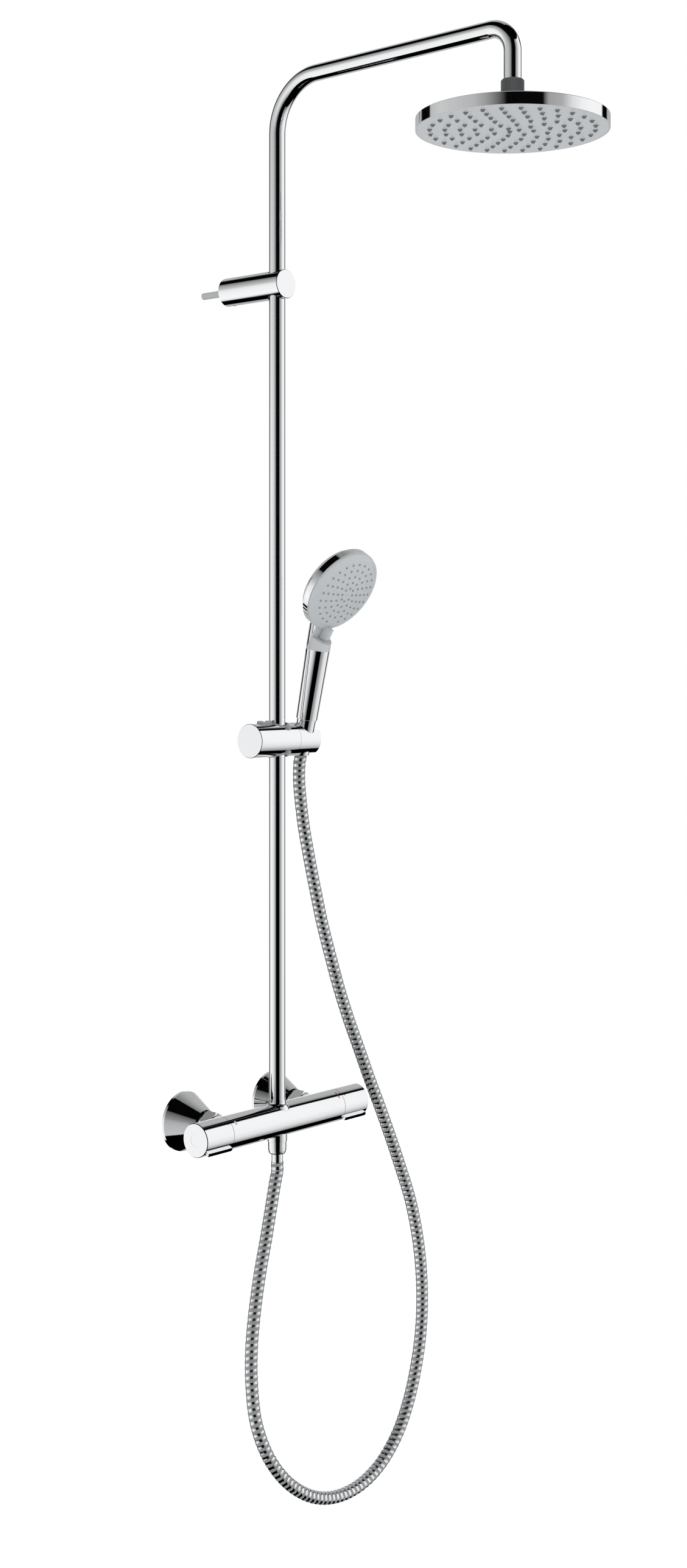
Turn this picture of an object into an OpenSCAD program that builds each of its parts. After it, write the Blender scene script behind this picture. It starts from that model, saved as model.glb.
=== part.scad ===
// Rainfall shower column: a wall-mounted thermostatic bar valve with a riser pipe,
// a swivel arm with a round overhead head, and a hand shower on a sliding holder.
// Frame: origin on the wall, midway between the two water inlets, at bar height.
// +X runs along the bar, +Y into the wall, +Z up the riser. Millimetres.

/* [Wall connection] */
// Distance between the two wall inlets
inlet_spacing = 150; // [136:1:160]
// Distance from the wall to the axis of the bar and the riser
wall_gap = 78.5; // [74:0.5:95]
// Height offset between the wall thread and the bar axis
union_offset = 7.5; // [4:0.5:9]
// Outer radius of the G1/2 wall threads
wall_thread_r = 10.45; // [10.2:0.05:10.6]
// How far the wall threads reach into the wall
wall_thread_l = 13; // [10:1:20]
// Outer radius of the G3/4 union threads
union_thread_r = 13.1; // [12.8:0.05:13.3]
// Rim radius of the conical wall roses
rose_r = 34; // [30:1:40]
// Wall thickness of the roses
rose_wall = 1.4; // [1:0.1:2]
// Width across the flats of the union nuts
nut_flats = 30; // [29:0.5:32]

/* [Thermostatic bar] */
// Outer radius of the bar and of both handles
bar_r = 19; // [18.5:0.5:23]
// Distance from the riser to the left handle seam
body_left = 91; // [91:1:105]
// Distance from the riser to the right handle seam
body_right = 99; // [95:1:112]
// Length of each handle
handle_l = 42.5; // [38:0.5:52]
// Gap at each handle seam
seam_gap = 0.5; // [0.3:0.1:1]
// Bore radius for the thermostatic cartridge
thermo_bore_r = 15; // [14.5:0.5:15.5]
// Bore radius for the diverter cartridge
divert_bore_r = 11.5; // [10.5:0.5:11.5]
// Radius of the two rear inlet arms
inlet_arm_r = 14; // [13.5:0.5:15]
// Height of the grip fin under each handle
fin_h = 4; // [2.5:0.5:5]
// Thickness of the grip fins
fin_t = 2.6; // [2:0.2:4]
// Angle of the fins, from straight down towards the front
fin_angle = 48; // [30:1:60]
// Radius of the screw cover at the end of each handle
plug_r = 6.9; // [5.5:0.1:8]

/* [Riser and wall bracket] */
// Outer radius of the riser and of the arm
pipe_r = 9.5; // [9:0.1:10.4]
// Wall thickness of the riser and of the arm
pipe_wall = 1; // [0.8:0.1:1.4]
// Height of the pipe collar seam above the bar axis
collar_z = 24.5; // [23.5:0.5:30]
// Height of the wall bracket
bracket_z = 963.5; // [800:1:1100]
// Radius of the wall bracket
bracket_r = 16.6; // [16:0.1:19]
// How far the bracket stands in front of the riser axis
bracket_front = 14; // [13.5:0.5:20]

/* [Arm and overhead head] */
// Height of the arm centreline
arm_z = 1197.5; // [1080:1:1400]
// Distance from the wall to the centre of the overhead head
arm_reach = 412; // [330:1:480]
// Bend radius at the top of the riser
arm_bend_r = 60; // [40:1:80]
// Bend radius above the overhead head
end_bend_r = 28; // [22:1:40]
// Radius of the overhead head
head_r = 102; // [92:1:125]
// Height of the head's rim
head_rim = 13; // [11:0.5:16]
// Height of the head's lower face
head_z = 1087.3; // [980:0.1:1290]
// Radius of the ball in the head joint
ball_r = 8.5; // [8:0.1:9]

/* [Slider and holder] */
// Height of the slider at rest
slider_z = 438.5; // [300:0.5:700]
// Radius of the slider and of the holder
slider_r = 19.4; // [19:0.1:22]
// Length of the slider to the left of the riser
slider_left = 46.5; // [44:0.5:55]
// Distance from the riser to the seam of the turning holder
holder_seam = 20.5; // [20.5:0.5:24]
// Distance from the riser to the free end of the holder
holder_end = 55; // [54:0.5:62]
// Distance from the riser to the axis of the hand shower
hand_x = 39; // [39:0.5:42]

/* [Hand shower] */
// Lean of the handle, from upright towards the front
hand_lean = 12.1; // [5:0.1:20]
// Angle between the handle and the spray face
face_lean = 20.6; // [15:0.1:25]
// Handle radius at the lower end
grip_r_low = 12.6; // [12.2:0.1:13.5]
// Handle radius at the neck
grip_r_top = 14.2; // [13.8:0.1:15]
// Distance of the spray face from the holder, along the handle
hand_l = 179; // [160:1:200]
// Radius of the spray face
face_r = 50; // [45:0.5:56]
// Swing of the selector lever to each side
lever_swing = 28; // [20:1:35]

/* [Hose] */
// Outer radius of the hose
hose_r = 7.5; // [7:0.1:8]

/* [Hidden] */
$fn = 72;
e = 0.01;

// clearances
fit = 0.05;          // running and sliding fits
press = 0.02;        // pieces pushed or glued in
air = 0.4;           // pieces that pass without touching

bar_y = -wall_gap;
inlet_x = inlet_spacing / 2;

// stations behind the bar, measured from the wall
nut_back = -(wall_gap - 39.5);
nut_front = nut_back - 15.5;
nipple_flange = nut_back - 8.5;
union_face = nipple_flange + 2;
rose_front = nut_back + 1;

module cx(r, x0, x1, y = bar_y, z = 0) {
    translate([x0, y, z]) rotate([0, 90, 0]) cylinder(r = r, h = x1 - x0);
}
module cy(r, y0, y1, x = 0, z = 0) {
    translate([x, y1, z]) rotate([90, 0, 0]) cylinder(r = r, h = y1 - y0);
}
module cz(r, z0, z1, x = 0, y = bar_y) {
    translate([x, y, z0]) cylinder(r = r, h = z1 - z0);
}
// ring along X, Y or Z
module rx(r, ri, x0, x1, y = bar_y, z = 0) {
    difference() { cx(r, x0, x1, y, z); cx(ri, x0 - 1, x1 + 1, y, z); }
}
module ry(r, ri, y0, y1, x = 0, z = 0) {
    difference() { cy(r, y0, y1, x, z); cy(ri, y0 - 1, y1 + 1, x, z); }
}
module rz(r, ri, z0, z1, x = 0, y = bar_y) {
    difference() { cz(r, z0, z1, x, y); cz(ri, z0 - 1, z1 + 1, x, y); }
}
module inlets() for (sx = [-1, 1]) translate([sx * inlet_x, 0, 0]) children();

// ---- wall connection, two of each ----

union_bore_r = 9;
module s_unions() color([0.8, 0.68, 0.42]) inlets() difference() {
    union() {
        cy(wall_thread_r, -9, wall_thread_l, 0, -union_offset);
        translate([0, -8, -union_offset / 2]) rotate([90, 0, 0])
            cylinder(r = 17.4, h = 10, $fn = 6);
        cy(union_thread_r, union_face, -17, 0, 0);
    }
    cy(7.5, -14, wall_thread_l + 1, 0, -union_offset);
    cy(union_bore_r, union_face - 1, -13, 0, 0);
}

module wall_roses() color("gainsboro") inlets() difference() {
    rotate([90, 0, 0]) rotate_extrude() polygon([
        [union_thread_r + 0.2, 39.5 - 6], [union_thread_r + 0.2, -rose_front],
        [16.2, -rose_front], [17.6, -rose_front - 1.6], [rose_r, 3.4], [rose_r, 0],
        [rose_r - rose_wall, 0], [rose_r - rose_wall, 2.6],
        [17.6 - rose_wall, -rose_front - 5.5]]);
}

module union_nuts() color("gainsboro") inlets() difference() {
    intersection() {
        translate([0, nut_back, 0]) rotate([90, 30, 0])
            cylinder(r = nut_flats / sqrt(3), h = nut_back - nut_front, $fn = 6);
        translate([0, nut_back, 0]) rotate([90, 0, 0]) rotate_extrude() polygon([
            [0, 0], [nut_flats / 2 + 0.6, 0], [nut_flats / sqrt(3), 1.4],
            [nut_flats / sqrt(3), 14], [nut_flats / 2 + 0.4, nut_back - nut_front],
            [0, nut_back - nut_front]]);
    }
    cy(union_thread_r + fit, nipple_flange - 3.1, nut_back + 1);
    cy(10 + 0.3, nut_front - 1, nut_back);
}

arm_back = nut_front - 1;
module inlet_nipples() color([0.8, 0.68, 0.42]) inlets() difference() {
    union() {
        cy(12.7, nipple_flange - 3, nipple_flange);
        cy(10, bar_y + thermo_bore_r + 0.3, nipple_flange);
    }
    cy(7.5, bar_y + 11, nipple_flange + 1);
}

module strainer_washers() color("dimgray") inlets() {
    ry(12.6, 8, nipple_flange, union_face);
    difference() {
        cy(8, nipple_flange + 0.8, nipple_flange + 1.3);
        for (k = [0 : 5]) rotate([0, k * 60, 0]) cy(1.6, union_face - 4, 0, 4.6);
        cy(1.6, union_face - 4, 0);
    }
}

module check_valves() color("mediumseagreen") inlets() difference() {
    union() {
        cy(union_bore_r - press, union_face + 1, union_face + 17);
    }
    cy(6, union_face - 1, union_face + 6);
    cy(4, union_face, union_face + 18);
    for (k = [0 : 3]) rotate([0, 45 + k * 90, 0]) cy(1.2, union_face, union_face + 18, 6.2);
}

// ---- thermostatic bar ----

thermo_end = 22;
divert_end = -18;
hot_channel_y = 15;
outlet_stub_z = 24.4;
hose_thread_l = 7;
hose_thread_r = 9.3;
collar_r = 9.9;
spigot_r = 7.4;
spigot_z = 11;

module bar_shape() {
    cx(bar_r, -body_left, body_right);
    inlets() cy(inlet_arm_r, bar_y, arm_back);
    // outlet collar for the riser, with its flare
    cz(collar_r, 10, collar_z);
    translate([0, bar_y, 0]) rotate_extrude() difference() {
        polygon([[0, 12], [bar_r - 4, 12], [bar_r - 6, 17.2], [collar_r, 21.5], [0, 21.5]]);
        translate([collar_r + 3.4, 21.3]) circle(r = 3.4);
    }
    // outlet stub and male thread for the hose
    cz(11.5, -outlet_stub_z, -10);
    cz(hose_thread_r, -outlet_stub_z - hose_thread_l, -12);
}
module thermostat_body() color("gainsboro") difference() {
    bar_shape();
    cx(thermo_bore_r, thermo_end, body_right + 1);
    cx(divert_bore_r, -body_left - 1, divert_end);
    // mixed water passage to the diverter, in front of the outlets
    cx(3.2, divert_end - 1, thermo_end + 1, bar_y - 11.2);
    // hot water passage behind the diverter
    cx(2.8, -inlet_x - 4, thermo_end + 1, bar_y + hot_channel_y);
    // diverter outlets: up to the riser, down to the hose
    for (s = [-1, 1]) cx(3.6, divert_end - 1, 4, bar_y, s * 6.4);
    cz(5, 5, collar_z + 1);
    cz(5, -outlet_stub_z - hose_thread_l - 1, -5);
    cz(spigot_r + fit, spigot_z, collar_z + 1);
    // inlets
    for (sx = [-1, 1]) cy(10 + press, bar_y + 12.5, arm_back + 1, sx * inlet_x);
    cy(7.5, bar_y, arm_back, inlet_x);
    // radial hole for the grub screw that holds the riser
    translate([0, bar_y, collar_z - 4.5]) rotate([0, -90, -45]) cylinder(r = 1.5, h = 12);
}

thermo_front = body_right + 3;
module thermostat_cartridge() color([0.22, 0.23, 0.25]) difference() {
    union() {
        cx(thermo_bore_r - press, thermo_end + 1, body_right - 0.5);
        cx(thermo_bore_r - 1.5, body_right - 1, thermo_front);
    }
    cx(11, thermo_end + 4, body_right - 8);
    cx(4.5 + fit, thermo_end + 2, thermo_front + 1);
    cx(8, thermo_end, thermo_end + 5);
    // hot and cold ports
    for (k = [0 : 5]) translate([0, bar_y, 0]) rotate([k * 60, 0, 0]) {
        translate([inlet_x, 0, 0]) cylinder(r = 3, h = 20);
        translate([thermo_end + 10, 0, 0]) cylinder(r = 2.4, h = 20);
    }
}

wax_x = thermo_end + 22;
regulator_travel = 1.5;
module wax_element() color([0.75, 0.5, 0.3]) {
    cx(4.4, wax_x, wax_x + 26);
    cx(6.2, wax_x + 8, wax_x + 12);
    cx(2.4, wax_x + 25, wax_x + 32);
}
module regulating_piston() color([0.85, 0.85, 0.8]) difference() {
    cx(11 - fit, wax_x - 2, wax_x + 7.9);
    cx(4.4 + press, wax_x - 3, wax_x + 9);
    for (k = [0 : 5]) translate([0, bar_y, 0]) rotate([k * 60, 0, 0])
        translate([wax_x - 3, 0, 7.6]) rotate([0, 90, 0]) cylinder(r = 1.5, h = 13);
}
// helix of round wire along X: turns, mean radius, wire radius
function coil_points(x0, x1, r, turns, y, z, steps = 12) = [for (i = [0 : turns * steps])
    [x0 + (x1 - x0) * i / (turns * steps), y + r * cos(360 * i / steps),
        z + r * sin(360 * i / steps)]];
module return_spring() color("silver")
    swept_tube(coil_points(thermo_end + 5, wax_x - 3, 7, 4, bar_y, 0), 0.7, 6);

spindle_x = wax_x + 33;
module temperature_spindle() color([0.8, 0.68, 0.42]) difference() {
    union() {
        cx(4.5, spindle_x, body_right + 12);
        cx(9, spindle_x, spindle_x + 4);
        cx(4, body_right + 11, body_right + 24);
    }
    cx(1.7, body_right + 8, body_right + 30);
}

// handle along +X from its seam, with hub, grip fin and screw pocket
plug_depth = 2.2;
hub_x = 12;
module handle_solid() {
    difference() {
        union() {
            translate([0, bar_y, 0]) rotate([0, 90, 0]) rotate_extrude() polygon([
                [0, 0], [bar_r, 0], [bar_r, handle_l - 0.7], [bar_r - 0.7, handle_l],
                [0, handle_l]]);
            // grip fin
            translate([0, bar_y, 0]) rotate([-fin_angle, 0, 0]) hull() {
                translate([2.4, -fin_t / 2, -bar_r - fin_h + 1.2]) rotate([-90, 0, 0])
                    cylinder(r = 1.2, h = fin_t, $fn = 32);
                translate([handle_l - 4.4, -fin_t / 2, -bar_r - fin_h + 1.2]) rotate([-90, 0, 0])
                    cylinder(r = 1.2, h = fin_t, $fn = 32);
                translate([1.2, -fin_t / 2, -bar_r + 1])
                    cube([handle_l - 4.4, fin_t, 1]);
            }
        }
        cx(bar_r - 2.4, -1, handle_l - 6);
        cx(plug_r, handle_l - plug_depth, handle_l + 1);
        cx(3.4, handle_l - 7, handle_l);
    }
    difference() {
        cx(7, hub_x, handle_l - 5.9);
        cx(4 + press, hub_x - 1, 24 - seam_gap + press);
        cx(1.7 + fit, hub_x, handle_l);
        cx(3.4, 26, handle_l);
    }
}
module handle_screw_solid() difference() {
    union() {
        cx(1.7 - press, 10, 27 - 1);
        cx(3.2, 26, 29);
    }
    translate([27.4, bar_y, 0]) rotate([0, 90, 0]) cylinder(r = 1.5, h = 3, $fn = 6);
}
module handle_plug_solid() {
    cx(plug_r - fit, handle_l - plug_depth, handle_l - 0.1);
    cx(3.4 - press, handle_l - plug_depth - 2.4, handle_l - plug_depth + e);
}
module right_place() translate([body_right + seam_gap, 0, 0]) children();
module left_place() translate([-body_left - seam_gap, 0, 0]) mirror([1, 0, 0]) children();

module temperature_handle() color("gainsboro") right_place() handle_solid();
module temperature_screw() color("silver") right_place() handle_screw_solid();
module temperature_plug() color("gainsboro") right_place() handle_plug_solid();
module diverter_handle() color("gainsboro") left_place() handle_solid();
module diverter_screw() color("silver") left_place() handle_screw_solid();
module diverter_plug() color("gainsboro") left_place() handle_plug_solid();

disc_x = -50;
module diverter_cartridge() color([0.22, 0.23, 0.25]) difference() {
    union() {
        cx(divert_bore_r - press, -body_left - 3, divert_end - 4);
        cx(divert_bore_r - 1, divert_end - 4.5, divert_end - 1);
    }
    cx(9, disc_x, divert_end - 8);
    cx(9, -body_left + 6, disc_x + 0.01);
    cx(4.5 + fit, -body_left - 4, divert_end - 8);
    for (s = [-1, 1]) cx(3, divert_end - 10, divert_end, bar_y, s * 6.4);
    translate([divert_end - 14, bar_y, 0]) rotate([90, 0, 0]) cylinder(r = 3, h = 20);
}
module disc_ports() for (s = [-1, 1]) cx(2, disc_x - 4, disc_x + 6, bar_y, s * 4.6);
module diverter_fixed_disc() color("white") difference() {
    cx(9 - press, disc_x, disc_x + 4);
    disc_ports();
}
module diverter_turning_disc() color("white") difference() {
    cx(9 - fit, disc_x - 4, disc_x - press);
    cx(2, disc_x - 5, disc_x + 1, bar_y, 4.6);
    translate([disc_x - 4.5, bar_y - 3, -1.5]) cube([2.5, 6, 3]);
}
module diverter_spindle() color([0.8, 0.68, 0.42]) difference() {
    union() {
        cx(4.5, -body_left - 12, disc_x - 5);
        cx(8.8, disc_x - 8, disc_x - 4 - press);
        translate([disc_x - 5, bar_y - 3 + press, -1.5 + press])
            cube([2.9, 6 - 2 * press, 3 - 2 * press]);
        cx(4, -body_left - 24, -body_left - 11);
    }
    cx(1.7, -body_left - 30, -body_left - 8);
}

// ---- riser, bracket ----

pipe_bore_r = pipe_r - pipe_wall;
riser_top = bracket_z - 4;
arm_spigot_l = 24;
module riser_pipe() color("gainsboro") difference() {
    union() {
        cz(pipe_r, collar_z, riser_top);
        cz(spigot_r, spigot_z + 0.5, collar_z + 1);
    }
    cz(5, spigot_z, collar_z + 3);
    cz(pipe_bore_r, collar_z + 2.5, riser_top + 1);
    translate([0, bar_y, collar_z - 9]) groove(spigot_r, 1.2);
    translate([0, bar_y, collar_z - 4.5]) rotate([0, -90, -45])
        translate([0, 0, 6]) cylinder(r = 1.6, h = 4);
}
// square O-ring groove cut into a spigot of radius r, centred on its own z = 0
module groove(r, d) rotate_extrude() translate([r - d, -1]) square([d + 1, 2]);
module pipe_o_rings() color([0.12, 0.12, 0.12]) {
    translate([0, bar_y, collar_z - 9]) rotate_extrude()
        translate([spigot_r - 1.2 + press, -0.9]) square([1.2, 1.8]);
    for (dz = [6, 11]) translate([0, bar_y, riser_top - dz]) rotate_extrude()
        translate([pipe_bore_r - 1.2, -0.9]) square([1.2 - press, 1.8]);
}
module grub_screws() color("silver") {
    translate([0, bar_y, collar_z - 4.5]) rotate([0, -90, -45])
        translate([0, 0, 6.2]) cylinder(r = 1.5 - press, h = collar_r - 6.6);
    translate([0, -11, bracket_z]) rotate([180, 0, 0])
        translate([0, 0, post_r - 1]) cylinder(r = 2 - press, h = bracket_r - post_r + 0.5);
}

post_r = 11;
bracket_nose = bar_y - bracket_front;
module bracket_sleeve() color("gainsboro") difference() {
    cy(bracket_r, bracket_nose + 2, 0, 0, bracket_z);
    cy(post_r + fit, bar_y + 19, 1, 0, bracket_z);
    cz(11, bracket_z - 30, bracket_z + 30);
    translate([0, -11, bracket_z - 25]) cylinder(r = 2, h = 20);
}
module bracket_cap() color("gainsboro")
    translate([0, bracket_nose + 2, bracket_z]) rotate([90, 0, 0]) rotate_extrude()
        polygon([[0, 0], [bracket_r, 0], [bracket_r, 1.4], [bracket_r - 0.6, 2], [0, 2]]);
module bracket_bush() color([0.3, 0.31, 0.33]) intersection() {
    rz(11 - press, pipe_r + fit, bracket_z - 16, bracket_z + 16);
    cy(bracket_r - 0.6, bar_y - 20, bar_y + 20, 0, bracket_z);
}
module bracket_wall_mount() color("silver") difference() {
    cy(post_r, bar_y + 20, 0, 0, bracket_z);
    cy(2.5, bar_y, 1, 0, bracket_z);
    cy(5.2, bar_y + 19, -12, 0, bracket_z);
    cy(4.4, -1.2, 1, 0, bracket_z);
    translate([0, -11, bracket_z]) rotate([180, 0, 0])
        translate([0, 0, post_r - 1.2]) cylinder(r = 2, h = 3);
}
module bracket_screw() color("silver") difference() {
    union() {
        cy(2.4, -13, 38.5, 0, bracket_z);
        cy(4.6, -15.5, -12, 0, bracket_z);
    }
    translate([0, -14, bracket_z]) rotate([90, 0, 0]) cylinder(r = 2, h = 3, $fn = 6);
}
module wall_plug() color("lightgray") difference() {
    cy(4, 0, 40, 0, bracket_z);
    cy(2.4 + press, -1, 39, 0, bracket_z);
    cy(1.6, 38, 41, 0, bracket_z);
}

// ---- arm and overhead head ----

head_y = -arm_reach;
ball_z = head_z + 26;
drop_end = head_z + 52.5;
arm_low = riser_top;
module arm_outline(r) {
    cz(r, arm_low, arm_z - arm_bend_r);
    translate([0, bar_y - arm_bend_r, arm_z - arm_bend_r]) rotate([0, -90, 0])
        rotate([0, 0, 0]) rotate_extrude(angle = 90) translate([arm_bend_r, 0]) circle(r = r);
    cy(r, head_y + end_bend_r, bar_y - arm_bend_r, 0, arm_z);
    translate([0, head_y + end_bend_r, arm_z - end_bend_r]) rotate([0, -90, 0])
        rotate([0, 0, -90]) rotate_extrude(angle = 90) translate([end_bend_r, 0]) circle(r = r);
    cz(r, drop_end, arm_z - end_bend_r, 0, head_y);
}
module shower_arm() color("gainsboro") difference() {
    union() {
        arm_outline(pipe_r);
        // swaged spigot that turns in the riser
        cz(pipe_bore_r - fit, riser_top - 16, riser_top + 1);
        // threaded end for the head
        cz(9.9, ball_z + 15, drop_end + 0.3, 0, head_y);
    }
    arm_outline(pipe_bore_r - 0.6);
    cz(6, riser_top - 17, riser_top + 3);
    cz(6.5, ball_z + 14, drop_end + 4, 0, head_y);
    for (dz = [6, 11]) translate([0, bar_y, riser_top - dz]) groove(pipe_bore_r, 1.25);
}
rib_count = 48;
module head_union_nut() color([0.36, 0.37, 0.38]) difference() {
    translate([0, head_y, 0]) union() {
        translate([0, 0, ball_z + 9.2]) linear_extrude(drop_end - ball_z - 10.4)
            polygon([for (i = [0 : 2 * rib_count - 1]) let (a = 180 * i / rib_count,
                r = i % 2 == 0 ? 12.3 : 11.75) [r * cos(a), r * sin(a)]]);
        translate([0, 0, drop_end - 1.3]) cylinder(r1 = 11.8, r2 = 11.2, h = 1.1);
    }
    cz(9.9 + fit, ball_z + 11, drop_end + 1, 0, head_y);
    cz(6.3, ball_z + 8, ball_z + 12, 0, head_y);
}
module head_ball() color("gainsboro") difference() {
    union() {
        translate([0, head_y, ball_z]) sphere(r = ball_r);
        cz(5.6, ball_z + 5, ball_z + 12, 0, head_y);
        cz(9.6, ball_z + 11 + press, ball_z + 13, 0, head_y);
    }
    cz(4, ball_z - 10, ball_z + 14, 0, head_y);
}
module head_strainer() color("dimgray") difference() {
    cz(9.6, ball_z + 13, ball_z + 15, 0, head_y);
    translate([0, head_y, 0]) for (k = [0 : 5]) rotate([0, 0, 60 * k])
        translate([3.4, 0, ball_z + 12]) cylinder(r = 1.1, h = 4);
    cz(1.1, ball_z + 12, ball_z + 16, 0, head_y);
}
module ball_seat() color("white") translate([0, head_y, ball_z]) difference() {
    sphere(r = ball_r + 2);
    sphere(r = ball_r + fit);
    translate([0, 0, 4]) cylinder(r = 20, h = 20);
    translate([0, 0, -26]) cylinder(r = 20, h = 20);
}

// overhead head, profiles drawn about its own axis from its lower face
shell_wall = 1.8;
neck_r = 15;
module at_head() translate([0, head_y, head_z]) children();
module head_shell() color("gainsboro") at_head() difference() {
    rotate_extrude() polygon([[head_r, 0], [head_r, head_rim - 0.8], [head_r - 0.8, head_rim],
        [60, 16], [neck_r + 3, 19], [neck_r, 21.5], [neck_r, 30], [neck_r - 1.5, 31], [0, 31],
        [0, 26], [ball_r + 2 + fit, 26], [ball_r + 2 + fit, 17.4], [30, 15.6], [60, 13.9],
        [head_r - 4, head_rim - shell_wall], [head_r - shell_wall, head_rim - 3.2],
        [head_r - shell_wall, 0]]);
    translate([0, 0, 26]) sphere(r = ball_r + 2 + fit);
}
plate_z = 6;
module head_back_plate() color([0.3, 0.31, 0.33]) at_head() difference() {
    union() {
        translate([0, 0, plate_z]) cylinder(r = head_r - shell_wall - 1.2, h = 2);
        translate([0, 0, plate_z]) cylinder(r = ball_r - 0.5, h = 15);
    }
    translate([0, 0, 26]) sphere(r = ball_r + 2 + press);
    translate([0, 0, plate_z - 1]) cylinder(r = 4.5, h = 12);
}
// nozzle rings: radius, count, start angle
head_rings = [[7, 3, 60], [22.5, 8, 2.5], [39.5, 13, 22.5], [55, 18, 12], [71, 23, 6.2],
    [87, 28, 2.8]];
module head_spots() for (g = head_rings) for (k = [0 : g[1] - 1])
    rotate([0, 0, g[2] + 360 * k / g[1]]) translate([g[0] * head_r / 102, 0, 0]) children();
mat_z = 2.4;
module head_nozzle_mat() color([0.42, 0.43, 0.45]) at_head() {
    translate([0, 0, mat_z]) cylinder(r = head_r - shell_wall - 3, h = 1.4);
    head_spots() translate([0, 0, -2.4]) cylinder(r = 1.5, h = mat_z + 2.4 + e, $fn = 24);
}
module head_face() color([0.86, 0.87, 0.88]) at_head() difference() {
    cylinder(r = head_r - shell_wall - fit, h = mat_z);
    head_spots() translate([0, 0, -1]) cylinder(r = 1.5 + fit, h = mat_z + 2, $fn = 24);
}

// ---- slider and holder ----

module at_slider() translate([0, bar_y, slider_z]) children();
module sx(r, x0, x1, y = 0, z = 0) {
    translate([x0, y, z]) rotate([0, 90, 0]) cylinder(r = r, h = x1 - x0);
}
sleeve_r = pipe_r + 1.6;
bush_r = sleeve_r + 1.9;
brake_r = 6;
module grip_sleeve() color([0.2, 0.2, 0.22]) at_slider() difference() {
    translate([0, 0, -16]) cylinder(r = sleeve_r, h = 32);
    translate([0, 0, -17]) cylinder(r = pipe_r + fit, h = 34);
    translate([0, -1, -17]) cube([20, 2, 34]);
}
module slider_bush() color([0.58, 0.6, 0.61]) at_slider() difference() {
    union() {
        intersection() {
            translate([0, 0, -25]) cylinder(r = bush_r, h = 50);
            sx(slider_r + 0.8, -20, 20);
        }
        // round ears on the front right and the rear left
        for (k = [0, 180]) for (m = [0, 1]) mirror([0, 0, m]) rotate([0, 0, k])
            translate([4, -11.6, 12.2]) rotate([42, 0, 0]) cylinder(r = 3.4, h = 4.2);
    }
    translate([0, 0, -26]) cylinder(r = sleeve_r + fit, h = 52);
    sx(brake_r + 0.3, -20, 0);
}
cap_t = 1.5;
module slider_body() color("gainsboro") at_slider() difference() {
    sx(slider_r, -slider_left + cap_t, holder_seam - 0.3);
    translate([0, 0, -25]) cylinder(r = bush_r + press, h = 50);
    // brake bore, open at the cap end
    sx(brake_r + fit, -slider_left, 0);
    // pocket of the release button
    translate([button_x, button_y, 0]) cylinder(r = 3 + fit, h = 30);
    translate([button_x - 9.3, button_y - 4.3, 15]) cube([18.6, 8.6, 10]);
    // room for the bush ears
    for (k = [0, 180]) for (m = [0, 1]) mirror([0, 0, m]) rotate([0, 0, k])
        translate([4, -11.6, 12.2]) rotate([42, 0, 0]) cylinder(r = 3.4 + press, h = 6);
    // recess for the holder spigot, and the thread of its screw
    sx(8 + fit, holder_seam - 4.8, holder_seam + 1);
    sx(2, bush_r + 0.5, holder_seam);
}
module slider_cap() color("gainsboro") at_slider() {
    translate([-slider_left + cap_t, 0, 0]) rotate([0, -90, 0]) rotate_extrude() polygon([
        [0, 0], [slider_r, 0], [slider_r, cap_t - 0.5], [slider_r - 0.5, cap_t], [0, cap_t]]);
    sx(brake_r - press, -slider_left + 1, -slider_left + 4);
}
shoe_tail = -24;
module brake_shoe() color([0.2, 0.2, 0.22]) at_slider() difference() {
    sx(brake_r, shoe_tail, 0);
    translate([0, 0, -25]) cylinder(r = sleeve_r + fit, h = 50);
    // notch for the wedge of the release button
    translate([button_x - 3.6, -10, 0.6]) cube([8, 20, 10]);
}
module brake_spring() color("silver")
    swept_tube(coil_points(-slider_left + 5, shoe_tail - 1, 4.2, 5, bar_y, slider_z), 0.6, 6);
button_x = -21.8;
button_y = 0;
button_travel = 2;
module release_button() color([0.62, 0.63, 0.65]) at_slider() translate([button_x, button_y, 0]) {
    // saddle-shaped finger rest
    difference() {
        translate([-8.5, -4, 17.2]) cube([17, 8, 5.4]);
        translate([0, -5, 31.2]) rotate([-90, 0, 0]) cylinder(r = 11, h = 10);
        for (s = [-1, 1]) translate([s * 8.5, 5, 22.6]) rotate([90, 0, 0]) corner(2.4, 10, s);
    }
    translate([0, 0, 3.2]) cylinder(r = 3, h = 14.1);
}
// what is cut away to round a corner along +Z, on the side s of X, below z = 0 of the edge
module corner(r, h, s) difference() {
    translate([-r, -r, -1]) cube([2 * r, 2 * r, h + 2]);
    translate([-s * r, -r, -2]) cylinder(r = r, h = h + 4);
}

// hand shower axis: local +Z runs up the handle
hand_y = -5.8;
module at_hand() at_slider() translate([hand_x, hand_y, 0]) rotate([hand_lean, 0, 0])
    children();
cone_top = 24;
cone_low = -18;
cone_r_top = 11.4;
cone_r_low = 9.4;
module cone(extra = 0, up = 0) {
    slope = (cone_r_top - cone_r_low) / (cone_top - cone_low);
    rotate_extrude() polygon([[0, cone_low - up], [cone_r_low - slope * up + extra, cone_low - up],
        [cone_r_top + slope * up + extra, cone_top + up], [0, cone_top + up]]);
}
module holder() color("gainsboro") difference() {
    union() {
        at_slider() sx(slider_r, holder_seam, holder_end);
        at_slider() sx(8, holder_seam - 4.5, holder_seam + 1);
    }
    at_hand() cone(fit, 12);
    // slot that the hose passes through
    at_hand() translate([0, -hose_r - 0.7, -40]) cube([40, 2 * hose_r + 1.4, 80]);
    at_slider() sx(2 + 0.3, 0, hand_x);
    at_slider() sx(4.2, holder_seam + 3, hand_x);
}
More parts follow.
